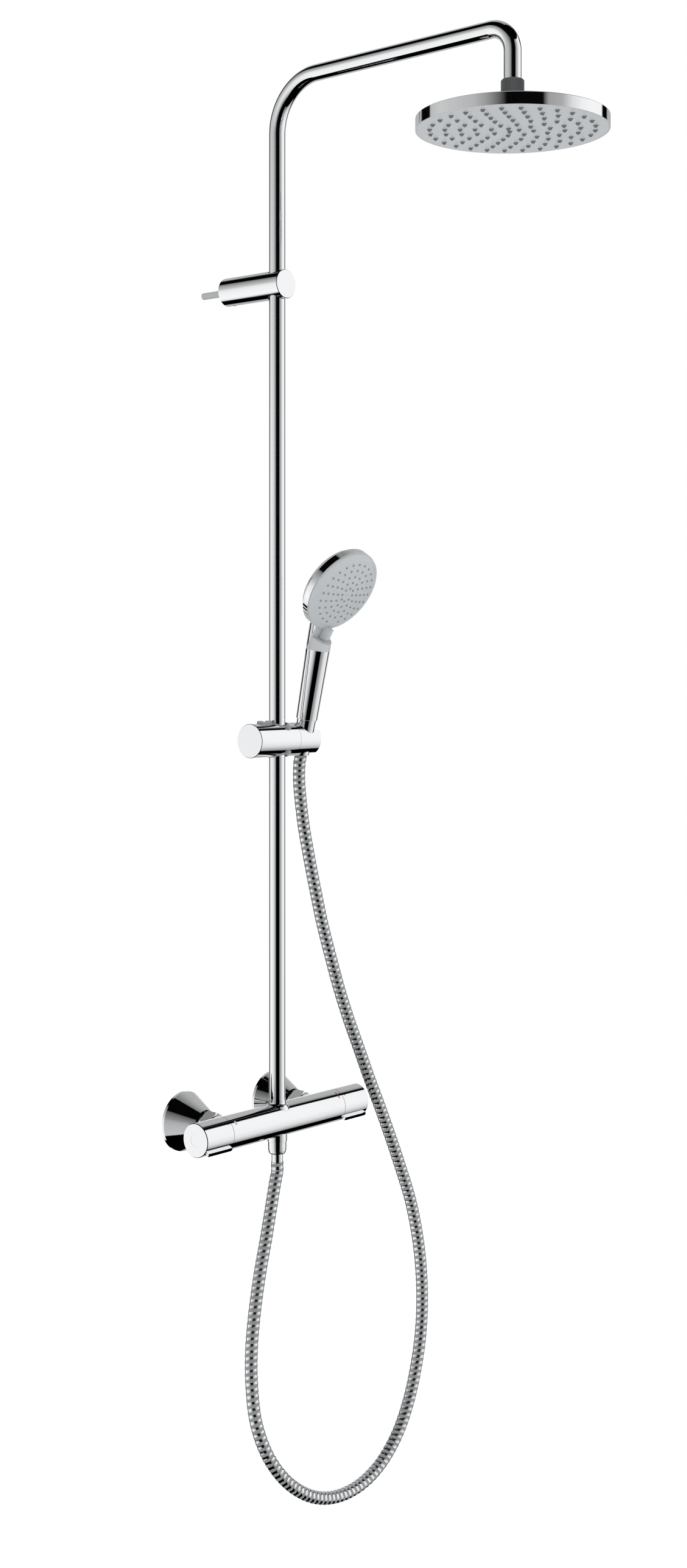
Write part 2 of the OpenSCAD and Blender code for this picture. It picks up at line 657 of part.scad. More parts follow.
module holder_screw() color("silver") at_slider() difference() {
    union() {
        sx(2 - press, bush_r + 0.8, holder_seam + 3.5);
        sx(4, holder_seam + 3 + press, holder_seam + 6);
    }
    translate([holder_seam + 4.6, 0, 0]) rotate([0, 90, 0]) cylinder(r = 1.4, h = 3, $fn = 6);
}

// ---- hand shower ----

grip_low = 24.4;
grip_top = 112;
// the spray face frame: origin at the face centre, +Z outwards
module at_face() at_hand() translate([0, -25.2, hand_l]) rotate([90 + face_lean, 0, 0])
    children();
sweep_r = 64;
module grip_outline(d) {
    rotate_extrude() polygon([[0, grip_low + d], [grip_r_low - d, grip_low + d],
        [grip_r_top - d, grip_top], [grip_r_top - d, hand_l - 20], [0, hand_l - 20]]);
}
module head_cup(d) rotate_extrude() polygon([[0, -24 + d], [26, -23.6 + d], [40, -21.6 + d],
    [face_r - 3, -17.5 + d], [face_r + 1 - d, -12], [face_r + 1 - d, -4], [0, -4]]);
module handset_shell() color("gainsboro") difference() {
    union() {
        difference() {
            at_hand() grip_outline(0);
            at_face() translate([0, 0, -4.6]) cylinder(r = 200, h = 60);
        }
        difference() {
            at_hand() grip_outline(0);
            at_hand() translate([-50, -50, grip_top - 5.5]) cube([100, 100, 200]);
        }
        at_face() head_cup(0);
        at_hand() translate([0, 0, 11]) cylinder(r = 10.3, h = 14);
    }
    difference() {
        at_hand() grip_outline(2);
        at_face() translate([0, 0, -8.6]) cylinder(r = 200, h = 60);
    }
    at_hand() translate([0, 0, 30]) cylinder(r = 9, h = 70);
    at_hand() translate([0, 0, 10]) cylinder(r = 7, h = 30);
    at_face() difference() { head_cup(2); translate([0, 0, -26]) cylinder(r = 10, h = 23); }
    at_face() translate([0, 0, -14]) cylinder(r = hub_r + fit, h = 20);
    at_face() rz0(face_r + 0.2, face_r - 3, -5, 0);
}
// plain ring about the local axis
module rz0(r, ri, z0, z1) difference() {
    translate([0, 0, z0]) cylinder(r = r, h = z1 - z0);
    translate([0, 0, z0 - 1]) cylinder(r = ri, h = z1 - z0 + 2);
}
// light trim in the neck, hollowed for the sweep of the selector lever
module handset_trim() color([0.8, 0.81, 0.82]) difference() {
    intersection() {
        at_hand() translate([0, 0, grip_top - 5.4]) cylinder(r = grip_r_top, h = 40);
        at_face() translate([-40, -90, -4.6]) cube([80, 80, 50]);
    }
    at_face() translate([0, 0, -3.2]) cylinder(r = sweep_r, h = 60);
    at_face() translate([0, 0, -10]) cylinder(r = face_r + 1.1, h = 50);
}
dome_h = 6;
dome_r = 265;
front_r = 43.4;
module handset_face() color([0.8, 0.81, 0.82]) {
    at_face() difference() {
        union() {
            intersection() {
                translate([0, 0, dome_h - dome_r]) sphere(r = dome_r, $fn = 180);
                translate([0, 0, -4]) cylinder(r = front_r, h = 20);
            }
            rotate_extrude() polygon([[0, -4], [face_r, -4], [face_r, -0.8],
                [face_r - 0.8, 0], [front_r, 2.4], [0, 2.4]]);
        }
        face_spots() translate([0, 0, -5]) cylinder(r = 1.1 + fit, h = 20, $fn = 24);
        translate([0, 0, -5]) cylinder(r = face_r - 5, h = 3);
    }
    // pivot and selector lever
    at_face() translate([0, 0, -9]) cylinder(r = hub_r, h = 7.1);
    at_face() translate([0, 0, 2]) cylinder(r = 1.1, h = dome_h - 1.3, $fn = 24);
    at_face() intersection() {
        translate([-2.3, -62, -2.8]) cube([4.6, 16, 11.6]);
        translate([-5, -50, 1]) rotate([0, 90, 0]) cylinder(r = 12, h = 10);
    }
}
hub_r = 5;
face_rings = [[8.5, 8], [16, 12], [23.5, 16], [31.3, 20], [38.8, 24]];
module face_spots() for (g = face_rings) for (k = [0 : g[1] - 1])
    if (!(g[0] > 38 && k == g[1] / 2)) rotate([0, 0, 90 + 360 * k / g[1]])
        translate([g[0], 0, 0]) children();
module handset_nozzles() color([0.55, 0.57, 0.58]) at_face() intersection() {
    union() {
        rz0(face_r - 5.1, hub_r + fit, -3.9, -2);
        face_spots() translate([0, 0, -2.1]) cylinder(r = 1.1, h = 20, $fn = 24);
    }
    translate([0, 0, dome_h + 0.8 - dome_r]) sphere(r = dome_r, $fn = 180);
}
module handset_strainer() color("dimgray") at_hand() difference() {
    translate([0, 0, 9]) cylinder(r = 10, h = 2);
    for (k = [0 : 5]) rotate([0, 0, 60 * k]) translate([3.4, 0, 8]) cylinder(r = 1.1, h = 4);
    translate([0, 0, 8]) cylinder(r = 1.1, h = 4);
}

// ---- hose and its fittings ----

module hose_cone_nut() color("gainsboro") at_hand() difference() {
    cone();
    translate([0, 0, 8.9]) cylinder(r = 10.3 + fit, h = 20);
    translate([0, 0, cone_low - 1]) cylinder(r = 5, h = 40);
}
stub_end = -outlet_stub_z;
nut_end = stub_end - 14;
ferrule_end = nut_end - 10;
ferrule_r = 6.6;
washer_z = stub_end - hose_thread_l - 2;
module hose_nut() color("gainsboro") difference() {
    translate([0, bar_y, 0]) rotate_extrude() polygon([[0, nut_end], [9.2, nut_end],
        [9.9, nut_end + 1.2], [10.5, nut_end + 3.6], [10.8, nut_end + 7],
        [10.8, stub_end - 0.4], [0, stub_end - 0.4]]);
    cz(hose_thread_r + fit, washer_z - 1.5, stub_end + 1);
    cz(ferrule_r + fit, nut_end - 1, stub_end);
}
module hose_washer() color([0.12, 0.12, 0.12]) rz(9, 5, washer_z, washer_z + 2);
module hose_ferrule() color("gainsboro") difference() {
    union() {
        cz(ferrule_r, ferrule_end, washer_z);
        cz(9, washer_z - 1.5, washer_z);
    }
    cz(4.6, ferrule_end - 1, stub_end);
}

// route of the hose, from the ferrule under the bar to the cone nut in the holder
hose_start = [0, bar_y, ferrule_end];
cone_foot = [hand_x, bar_y + hand_y - cone_low * sin(hand_lean),
    slider_z + cone_low * cos(hand_lean)];
hose_route = [
    [-5, -79, -75], [-23, -83, -128], [-37, -86, -166],
    [-50, -90, -205], [-61, -95, -245], [-67, -101, -285], [-67, -108, -325],
    [-56, -116, -363], [-33, -123, -396], [0, -128, -421], [38, -131, -434],
    [79, -133, -434], [117, -134, -421], [149, -134, -396], [173, -133, -363],
    [191, -131, -325], [204, -128, -287], [212, -124, -247], [214, -120, -206],
    [211, -116, -166], [203, -112, -126], [190, -108, -87], [175, -105, -49],
    [159, -102, -11], [142, -99, 27], [126, -96, 65], [110, -93, 103], [96, -90, 141],
    [84, -87, 180], [73, -84, 219], [64, -81, 259], [56, -78, 299], [49, -75, 340],
    [41, -76, 385]];
// the hose leaves both fittings straight
hose_lead = 6;
hand_up = [0, -sin(hand_lean), cos(hand_lean)];
function leads(p, d) = [p, p - d * hose_lead, p - d * 2 * hose_lead];
hose_path = concat(leads(hose_start, [0, 0, 1]), hose_route,
    [for (k = [2, 1, 0]) cone_foot - hand_up * (k * hose_lead + 0.05)]);
function mix(a, b, t) = a * (1 - t) + b * t;
// Catmull-Rom curve through the points p, with n steps a span
function smooth(p, n) = let (q = concat([p[0] * 2 - p[1]], p,
    [p[len(p) - 1] * 2 - p[len(p) - 2]])) concat(
    [for (i = [0 : len(p) - 2]) for (k = [0 : n - 1]) let (t = k / n)
        0.5 * (2 * q[i + 1] + (q[i + 2] - q[i]) * t
        + (2 * q[i] - 5 * q[i + 1] + 4 * q[i + 2] - q[i + 3]) * t * t
        + (3 * q[i + 1] - q[i] - 3 * q[i + 2] + q[i + 3]) * t * t * t)],
    [p[len(p) - 1]]);
function unit(v) = v / norm(v);
function tangent(p, i) = unit(p[min(i + 1, len(p) - 1)] - p[max(i - 1, 0)]);
// frames carried along the path without twisting
function frames(p, i = 0, u = undef) = let (t = tangent(p, i),
    v = is_undef(u) ? unit(cross(t, abs(t[2]) < 0.9 ? [0, 0, 1] : [1, 0, 0]))
        : unit(u - t * (u * t)))
    i == len(p) - 1 ? [[v, cross(t, v)]] : concat([[v, cross(t, v)]], frames(p, i + 1, v));
module swept_tube(p, r, sides) {
    f = frames(p);
    n = len(p);
    rings = [for (i = [0 : n - 1]) for (k = [0 : sides - 1])
        p[i] + r * (f[i][0] * cos(360 * k / sides) + f[i][1] * sin(360 * k / sides))];
    walls = [for (i = [0 : n - 2]) for (k = [0 : sides - 1]) let (m = (k + 1) % sides)
        [i * sides + k, i * sides + m, (i + 1) * sides + m, (i + 1) * sides + k]];
    polyhedron(points = rings, faces = concat(walls,
        [[for (k = [0 : sides - 1]) sides - 1 - k]],
        [[for (k = [0 : sides - 1]) (n - 1) * sides + k]]));
}
module hose() color([0.62, 0.63, 0.64])
    swept_tube(smooth(hose_path, 2), hose_r, 12);

s_unions();
wall_roses();
union_nuts();
inlet_nipples();
strainer_washers();
check_valves();
thermostat_body();
thermostat_cartridge();
return_spring();
diverter_cartridge();
diverter_fixed_disc();
riser_pipe();
pipe_o_rings();
grub_screws();
bracket_sleeve();
bracket_cap();
bracket_wall_mount();
bracket_screw();
wall_plug();
bracket_bush();
hose_nut();
hose_washer();
hose_ferrule();
hose();
temperature_handle();
temperature_spindle();
temperature_screw();
temperature_plug();
wax_element();
regulating_piston();
diverter_handle();
diverter_spindle();
diverter_turning_disc();
diverter_screw();
diverter_plug();
shower_arm();
head_union_nut();
head_ball();
head_strainer();
ball_seat();
head_shell();
head_back_plate();
head_nozzle_mat();
head_face();
grip_sleeve();
slider_body();
slider_cap();
slider_bush();
holder_screw();
brake_spring();
brake_shoe();
release_button();
holder();
handset_shell();
handset_trim();
handset_strainer();
hose_cone_nut();
handset_face();
handset_nozzles();
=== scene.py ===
"""Looks of a rainfall shower column, laid out as an add-on and run as a script."""

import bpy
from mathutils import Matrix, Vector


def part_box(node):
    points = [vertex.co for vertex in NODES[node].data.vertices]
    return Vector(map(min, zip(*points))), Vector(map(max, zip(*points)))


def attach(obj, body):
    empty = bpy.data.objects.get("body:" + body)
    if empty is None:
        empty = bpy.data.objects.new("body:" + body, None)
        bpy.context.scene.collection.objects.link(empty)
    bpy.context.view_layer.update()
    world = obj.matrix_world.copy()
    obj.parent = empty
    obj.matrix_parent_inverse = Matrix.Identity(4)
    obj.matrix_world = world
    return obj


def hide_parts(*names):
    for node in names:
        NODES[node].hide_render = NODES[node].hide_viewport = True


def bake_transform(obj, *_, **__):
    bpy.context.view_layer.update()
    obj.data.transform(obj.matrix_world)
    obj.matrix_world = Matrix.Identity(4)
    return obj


bl_info = {
    "name": "Rainfall shower column",
    "version": (1, 0, 0),
    "blender": (4, 5, 0),
    "location": "View3D > Sidebar > Shower",
    "description": "Finishes, hose, nozzles and studio of a thermostatic shower column",
    "category": "Object",
}

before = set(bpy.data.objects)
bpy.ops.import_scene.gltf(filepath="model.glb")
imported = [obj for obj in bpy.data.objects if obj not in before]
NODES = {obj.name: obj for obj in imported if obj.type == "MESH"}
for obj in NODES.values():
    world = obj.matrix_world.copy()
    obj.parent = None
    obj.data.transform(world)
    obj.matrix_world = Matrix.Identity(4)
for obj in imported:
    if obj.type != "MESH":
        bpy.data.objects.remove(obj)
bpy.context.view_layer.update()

import math

import bpy
import numpy as np
from mathutils import Vector

MM = 0.001


# ---------------------------------------------------------------- settings


def length_prop(name, text, default, top=0.1):
    return bpy.props.FloatProperty(
        name=name,
        description=text,
        default=default,
        min=0.0,
        max=top,
        unit="LENGTH",
        precision=4,
    )


def share_prop(name, text, default):
    return bpy.props.FloatProperty(
        name=name, description=text, default=default, min=0.0, max=1.0, subtype="FACTOR"
    )


def colour_prop(name, text, default):
    return bpy.props.FloatVectorProperty(
        name=name, description=text, default=default, min=0.0, max=1.0, size=3, subtype="COLOR"
    )


class ShowerFinishSettings(bpy.types.PropertyGroup):
    chrome: colour_prop("Chrome", "Colour of the chrome plating", (0.88, 0.89, 0.9))
    chrome_roughness: share_prop(
        "Chrome roughness", "How soft reflections in the plating are", 0.035
    )
    face_grey: colour_prop("Face grey", "Spray faces and neck trim", (0.5, 0.525, 0.54))
    soft_grey: colour_prop("Soft grey", "Slider bush and release button", (0.3, 0.32, 0.33))
    nut_grey: colour_prop("Nut grey", "Ribbed nut above the overhead head", (0.1, 0.105, 0.11))


class ShowerHoseSettings(bpy.types.PropertyGroup):
    diameter: length_prop("Diameter", "Outer diameter of the hose", 0.015, 0.03)
    pitch: length_prop("Pitch", "Length of one matt and one bright band", 0.0068, 0.02)
    matt_share: share_prop("Matt share", "Share of the pitch that is matt grey", 0.52)
    groove: length_prop("Groove", "How far the bright band lies below the matt one", 0.0003, 0.002)
    sides: bpy.props.IntProperty(
        name="Sides", description="Points around the hose", default=28, min=12, max=64
    )


class ShowerNozzleSettings(bpy.types.PropertyGroup):
    rain_size: length_prop(
        "Rain nozzle", "Corner to corner size of a diamond nozzle", 0.0076, 0.012
    )
    rain_height: length_prop(
        "Rain nozzle height", "How far a diamond nozzle stands out", 0.0023, 0.005
    )


class ShowerStageSettings(bpy.types.PropertyGroup):
    floor_drop: length_prop("Floor", "How far the floor lies below the bar", 1.05, 3.0)
    brightness: bpy.props.FloatProperty(
        name="Brightness",
        description="Strength of the studio light",
        default=1.0,
        min=0.1,
        max=4.0,
    )


# ---------------------------------------------------------------- helpers


def mesh_object(name, verts, faces, material_index=None, smooth=True):
    mesh = bpy.data.meshes.new(name)
    mesh.from_pydata([tuple(v) for v in verts], [], faces)
    mesh.update()
    if material_index is not None:
        mesh.polygons.foreach_set("material_index", material_index)
    mesh.polygons.foreach_set("use_smooth", [smooth] * len(mesh.polygons))
    obj = bpy.data.objects.new(name, mesh)
    bpy.context.scene.collection.objects.link(obj)
    return obj


def catmull_rom(points, steps):
    """A smooth line through the points, with so many steps from each to the next."""
    p = [Vector(v) for v in points]
    q = [p[0] * 2 - p[1]] + p + [p[-1] * 2 - p[-2]]
    out = []
    for i in range(len(p) - 1):
        for k in range(steps):
            t = k / steps
            out.append(
                0.5
                * (
                    2 * q[i + 1]
                    + (q[i + 2] - q[i]) * t
                    + (2 * q[i] - 5 * q[i + 1] + 4 * q[i + 2] - q[i + 3]) * t * t
                    + (3 * q[i + 1] - q[i] - 3 * q[i + 2] + q[i + 3]) * t**3
                )
            )
    out.append(p[-1])
    return out


# ---------------------------------------------------------------- materials


def effect_group(name, inputs, outputs):
    """A new shader node group with float inputs {name: default} and outputs {name: kind}."""
    tree = bpy.data.node_groups.new(name, "ShaderNodeTree")
    for label, default in inputs.items():
        s = tree.interface.new_socket(label, in_out="INPUT", socket_type="NodeSocketFloat")
        s.default_value = default
    for label, kind in outputs.items():
        tree.interface.new_socket(label, in_out="OUTPUT", socket_type=kind)
    return tree, tree.nodes.new("NodeGroupInput"), tree.nodes.new("NodeGroupOutput")


def noise(tree, coords, scale, detail=3.0, roughness=0.5):
    n = tree.nodes.new("ShaderNodeTexNoise")
    n.inputs["Detail"].default_value = detail
    n.inputs["Roughness"].default_value = roughness
    tree.links.new(coords, n.inputs["Vector"])
    if isinstance(scale, (int, float)):
        n.inputs["Scale"].default_value = scale
    else:
        tree.links.new(scale, n.inputs["Scale"])
    return n


def math_node(tree, operation, a, b=None, c=None):
    n = tree.nodes.new("ShaderNodeMath")
    n.operation = operation
    for i, value in enumerate((a, b, c)):
        if value is None:
            continue
        if isinstance(value, (int, float)):
            n.inputs[i].default_value = value
        else:
            tree.links.new(value, n.inputs[i])
    return n.outputs[0]


def polish_group():
    """Slight waviness, smear marks and fine wipe marks of polished plating."""
    tree, gi, go = effect_group(
        "polish marks",
        {"Wave scale": 25.0, "Wave height": 0.02, "Smear": 0.03, "Base roughness": 0.03},
        {"Roughness": "NodeSocketFloat", "Normal": "NodeSocketVector"},
    )
    coords = tree.nodes.new("ShaderNodeTexCoord").outputs["Object"]
    wave = noise(tree, coords, gi.outputs["Wave scale"], 1.0)
    smear = noise(tree, coords, 9.0, 4.0, 0.62)
    wipe = noise(tree, coords, 260.0, 2.0, 0.6)
    ramp = tree.nodes.new("ShaderNodeMapRange")
    ramp.inputs["From Min"].default_value = 0.48
    ramp.inputs["From Max"].default_value = 0.75
    tree.links.new(smear.outputs["Fac"], ramp.inputs["Value"])
    marks = math_node(tree, "MULTIPLY", ramp.outputs["Result"], gi.outputs["Smear"])
    fine = math_node(tree, "MULTIPLY", wipe.outputs["Fac"], 0.012)
    total = math_node(tree, "ADD", marks, fine)
    rough = math_node(tree, "ADD", total, gi.outputs["Base roughness"])
    tree.links.new(rough, go.inputs["Roughness"])
    bump = tree.nodes.new("ShaderNodeBump")
    bump.inputs["Distance"].default_value = 0.002
    tree.links.new(gi.outputs["Wave height"], bump.inputs["Strength"])
    tree.links.new(wave.outputs["Fac"], bump.inputs["Height"])
    tree.links.new(bump.outputs["Normal"], go.inputs["Normal"])
    return tree


def grain_group():
    """Fine spark-eroded grain and slow colour drift of a moulded surface."""
    tree, gi, go = effect_group(
        "moulded grain",
        {"Grain scale": 1400.0, "Grain height": 0.15, "Drift": 0.06, "Base roughness": 0.4},
        {
            "Roughness": "NodeSocketFloat",
            "Normal": "NodeSocketVector",
            "Shade": "NodeSocketFloat",
        },
    )
    coords = tree.nodes.new("ShaderNodeTexCoord").outputs["Object"]
    grain = noise(tree, coords, gi.outputs["Grain scale"], 2.0, 0.6)
    drift = noise(tree, coords, 22.0, 3.0, 0.55)
    bump = tree.nodes.new("ShaderNodeBump")
    bump.inputs["Distance"].default_value = 0.0004
    tree.links.new(gi.outputs["Grain height"], bump.inputs["Strength"])
    tree.links.new(grain.outputs["Fac"], bump.inputs["Height"])
    tree.links.new(bump.outputs["Normal"], go.inputs["Normal"])
    centred = math_node(tree, "SUBTRACT", drift.outputs["Fac"], 0.5)
    shade = math_node(tree, "MULTIPLY_ADD", centred, gi.outputs["Drift"], 1.0)
    tree.links.new(shade, go.inputs["Shade"])
    rough = math_node(tree, "MULTIPLY_ADD", centred, 0.18, gi.outputs["Base roughness"])
    tree.links.new(rough, go.inputs["Roughness"])
    return tree


def turning_group():
    """Fine tool marks in bands, for bare machined metal."""
    tree, gi, go = effect_group(
        "turning marks",
        {"Ring scale": 900.0, "Ring height": 0.2, "Base roughness": 0.28},
        {"Roughness": "NodeSocketFloat", "Normal": "NodeSocketVector"},
    )
    coords = tree.nodes.new("ShaderNodeTexCoord").outputs["Object"]
    wave = tree.nodes.new("ShaderNodeTexWave")
    wave.bands_direction = "DIAGONAL"
    wave.inputs["Distortion"].default_value = 1.5
    tree.links.new(gi.outputs["Ring scale"], wave.inputs["Scale"])
    tree.links.new(coords, wave.inputs["Vector"])
    bump = tree.nodes.new("ShaderNodeBump")
    bump.inputs["Distance"].default_value = 0.0003
    tree.links.new(gi.outputs["Ring height"], bump.inputs["Strength"])
    tree.links.new(wave.outputs["Fac"], bump.inputs["Height"])
    tree.links.new(bump.outputs["Normal"], go.inputs["Normal"])
    patch = noise(tree, coords, 60.0, 3.0)
    patches = patch.outputs["Fac"]
    rough = math_node(tree, "MULTIPLY_ADD", patches, 0.15, gi.outputs["Base roughness"])
    tree.links.new(rough, go.inputs["Roughness"])
    return tree


GROUP_MAKERS = {
    "polish marks": polish_group,
    "moulded grain": grain_group,
    "turning marks": turning_group,
}


def place_group(material, name, **values):
    """Puts a shared effect into a material, with its inputs set by name."""
    tree = bpy.data.node_groups.get(name) or GROUP_MAKERS[name]()
    node = material.node_tree.nodes.new("ShaderNodeGroup")
    node.node_tree = tree
    for label, value in values.items():
        node.inputs[label.replace("_", " ")].default_value = value
    return node


FINISHES = {}  # every finish made so far, by name


def blank_material(name, colour, metallic, roughness):
    """The finish called name, and its shader when it is new and still to be wired."""
    if name in FINISHES:
        return FINISHES[name], None
    m = FINISHES[name] = bpy.data.materials.new(name + "_finish")
    m.use_nodes = True
    bsdf = m.node_tree.nodes["Principled BSDF"]
    bsdf.inputs["Base Color"].default_value = (*colour, 1.0)
    bsdf.inputs["Metallic"].default_value = metallic
    bsdf.inputs["Roughness"].default_value = roughness
    m.diffuse_color = (*colour, 1.0)
    return m, bsdf


def plated(name, colour, roughness, wave, smear):
    """Polished chrome plating."""
    m, bsdf = blank_material(name, colour, 1.0, roughness)
    if bsdf is not None:
        g = place_group(m, "polish marks", Wave_height=wave, Smear=smear, Base_roughness=roughness)
        m.node_tree.links.new(g.outputs["Roughness"], bsdf.inputs["Roughness"])
        m.node_tree.links.new(g.outputs["Normal"], bsdf.inputs["Normal"])
    return m


def moulded(name, colour, roughness, grain, drift, scale=1400.0):
    """Moulded plastic, rubber, ceramic or print."""
    m, bsdf = blank_material(name, colour, 0.0, roughness)
    if bsdf is not None:
        g = place_group(
            m,
            "moulded grain",
            Grain_scale=scale,
            Grain_height=grain,
            Drift=drift,
            Base_roughness=roughness,
        )
        tree = m.node_tree
        tint = tree.nodes.new("ShaderNodeMix")
        tint.data_type = "RGBA"
        tint.blend_type = "MULTIPLY"
        tint.inputs["Factor"].default_value = 1.0
        tint.inputs["A"].default_value = (*colour, 1.0)
        tree.links.new(g.outputs["Shade"], tint.inputs["B"])
        tree.links.new(tint.outputs["Result"], bsdf.inputs["Base Color"])
        tree.links.new(g.outputs["Roughness"], bsdf.inputs["Roughness"])
        tree.links.new(g.outputs["Normal"], bsdf.inputs["Normal"])
    return m


def machined(name, colour, roughness, rings=900.0):
    """Bare turned metal."""
    m, bsdf = blank_material(name, colour, 1.0, roughness)
    if bsdf is not None:
        g = place_group(m, "turning marks", Ring_scale=rings, Base_roughness=roughness)
        m.node_tree.links.new(g.outputs["Roughness"], bsdf.inputs["Roughness"])
        m.node_tree.links.new(g.outputs["Normal"], bsdf.inputs["Normal"])
    return m


def give(node, material):
    """Puts one material on a CAD node, in place of the flat one it came with."""
    obj = NODES[node]
    obj.data.materials.clear()
    obj.data.materials.append(material)


# ---------------------------------------------------------------- hose

# the solid hose's centreline, in millimetres
HOSE_ROUTE = [
    (0, -78.5, -48.4), (0, -78.5, -54.4), (0, -78.5, -60.4),
    (-5, -79, -75), (-23, -83, -128), (-37, -86, -166), (-50, -90, -205),
    (-61, -95, -245), (-67, -101, -285), (-67, -108, -325), (-56, -116, -363),
    (-33, -123, -396), (0, -128, -421), (38, -131, -434), (79, -133, -434),
    (117, -134, -421), (149, -134, -396), (173, -133, -363), (191, -131, -325),
    (204, -128, -287), (212, -124, -247), (214, -120, -206), (211, -116, -166),
    (203, -112, -126), (190, -108, -87), (175, -105, -49), (159, -102, -11),
    (142, -99, 27), (126, -96, 65), (110, -93, 103), (96, -90, 141), (84, -87, 180),
    (73, -84, 219), (64, -81, 259), (56, -78, 299), (49, -75, 340), (41, -76, 385),
    (39, -78.0011, 409.1177), (39, -79.2588, 414.9844), (39, -80.5165, 420.8511),
]
ROUTE_STEPS = 24  # points of the line between two points of the route
COIL_SHARE = 0.972  # the coil's diameter as a share of the solid hose's, to stay inside it
BAND_EDGE = 0.07  # share of the pitch that a shoulder takes
RINGS_PER_PITCH = 10
LINE_POINTS = 80  # points of the centreline that hose_piece returns with each run
LOOP_LENGTH = 0.56  # the run that hangs from the bar and stays with it
FOLLOW_FROM = 0.6  # a station along the rise, passed with it to bake_transform
TOP_RUN = 0.09  # each of the three runs below the hand shower


class HosePath:
    """The hose's centreline with its length and a frame that doesn't twist."""

    def __init__(self):
        fine = catmull_rom([Vector(p) * MM for p in HOSE_ROUTE], ROUTE_STEPS)
        self.p = np.array([tuple(v) for v in fine])
        seg = np.linalg.norm(np.diff(self.p, axis=0), axis=1)
        self.s = np.concatenate([[0], np.cumsum(seg)])
        self.length = float(self.s[-1])
        t = np.gradient(self.p, axis=0)
        self.t = t / np.linalg.norm(t, axis=1)[:, None]
        u = np.cross(self.t[0], (0, 0, 1) if abs(self.t[0][2]) < 0.9 else (1, 0, 0))
        frames = []
        for d in self.t:
            u = u - d * (u @ d)
            u = u / np.linalg.norm(u)
            frames.append(u)
        self.u = np.array(frames)

    def at(self, s):
        """Centre and the two cross directions at the stations s."""

        def pick(a):
            return np.array([np.interp(s, self.s, a[:, k]) for k in range(3)]).T

        t = pick(self.t)
        t /= np.linalg.norm(t, axis=1)[:, None]
        u = pick(self.u)
        u -= t * np.sum(u * t, axis=1)[:, None]
        u /= np.linalg.norm(u, axis=1)[:, None]
        return pick(self.p), u, np.cross(t, u)


def hose_piece(path, name, s0, s1, cfg):
    """One run of the hose from s0 to s1, with its helical bands, on rings square to the line."""
    r = COIL_SHARE * cfg.diameter / 2
    step = cfg.pitch / RINGS_PER_PITCH
    n = max(2, int(round((s1 - s0) / step)) + 1)
    s = np.linspace(s0, s1, n)
    centre, u, v = path.at(s)
    k = np.arange(cfg.sides)
    a = 2 * np.pi * k / cfg.sides
    phase = (s[:, None] / cfg.pitch - k[None, :] / cfg.sides) % 1.0
    # matt band proud, bright band lower, with eased shoulders
    edge = BAND_EDGE
    matt = cfg.matt_share
    start = np.clip((phase + edge / 2) / edge, 0, 1)
    up = start * np.clip((matt - phase + edge / 2) / edge, 0, 1)
    wrap = np.clip((phase - 1 + edge / 2) / edge, 0, 1)
    rise = np.maximum(up, wrap)
    radius = r - cfg.groove * (1 - rise)
    ring = u[:, None, :] * np.cos(a)[None, :, None] + v[:, None, :] * np.sin(a)[None, :, None]
    verts = (centre[:, None, :] + ring * radius[:, :, None]).reshape(-1, 3)
    faces, slots = [], []
    m = cfg.sides
    for i in range(n - 1):
        for j in range(m):
            q = (j + 1) % m
            faces.append((i * m + j, i * m + q, (i + 1) * m + q, (i + 1) * m + j))
            mid = ((s[i] + s[i + 1]) / 2 / cfg.pitch - (j + 0.5) / m) % 1.0
            slots.append(0 if mid < matt else 1)
    for end, flip in ((0, True), (n - 1, False)):
        loop = [end * m + j for j in range(m)]
        faces.append(tuple(reversed(loop)) if flip else tuple(loop))
        slots.append(0)
    obj = mesh_object(name, verts, faces, slots)
    obj.data.materials.append(hose_matt())
    obj.data.materials.append(hose_bright())
    line = [tuple(x) for x in centre[:: max(1, n // LINE_POINTS)]]
    if line[-1] != tuple(centre[-1]):
        line.append(tuple(centre[-1]))
    return obj, line


def hose_matt():
    return moulded("hose_matt_band", (0.25, 0.26, 0.265), 0.42, 0.04, 0.06, 2500.0)


def hose_bright():
    return plated("hose_bright_band", (0.85, 0.86, 0.87), 0.12, 0.05, 0.05)


class SHOWER_OT_hose(bpy.types.Operator):
    """Winds the hose along its route, in five runs, the first of them attached to the column"""

    bl_idname = "shower.hose"
    bl_label = "Hose"

    def execute(self, context):
        cfg = context.scene.shower_hose
        path = HosePath()
        top = path.length
        # where each run starts and ends along the hose
        swing, bend, end = (top - k * TOP_RUN for k in (3, 2, 1))
        cuts = {
            "loop": (0.0, LOOP_LENGTH),
            "rise": (LOOP_LENGTH, swing),
            "swing": (swing, bend),
            "bend": (bend, end),
            "end": (end, top),
        }
        made = {}
        for key, (a, b) in cuts.items():
            made[key] = hose_piece(path, "hose_" + key, a, b, cfg)
        loop = made["loop"][0]
        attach(loop, "column")

        def level(station):
            return (0, 0, float(path.at(np.array([station]))[0][0][2]))

        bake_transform(made["rise"][0], "column", "glide", level(FOLLOW_FROM), level(swing))
        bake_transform(made["swing"][0], "glide", "slider", level(swing), level(bend))
        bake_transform(made["bend"][0], "slider", "holder", level(bend), level(end))
        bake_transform(made["end"][0], "holder", "handset", level(end), level(top))
        for key, (obj, line) in made.items():
            obj.visible_glossy = False  # kept out of the reflections in the chrome
            a, b = cuts[key]
        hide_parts("hose")
        return {"FINISHED"}


# ---------------------------------------------------------------- finishes on the CAD nodes


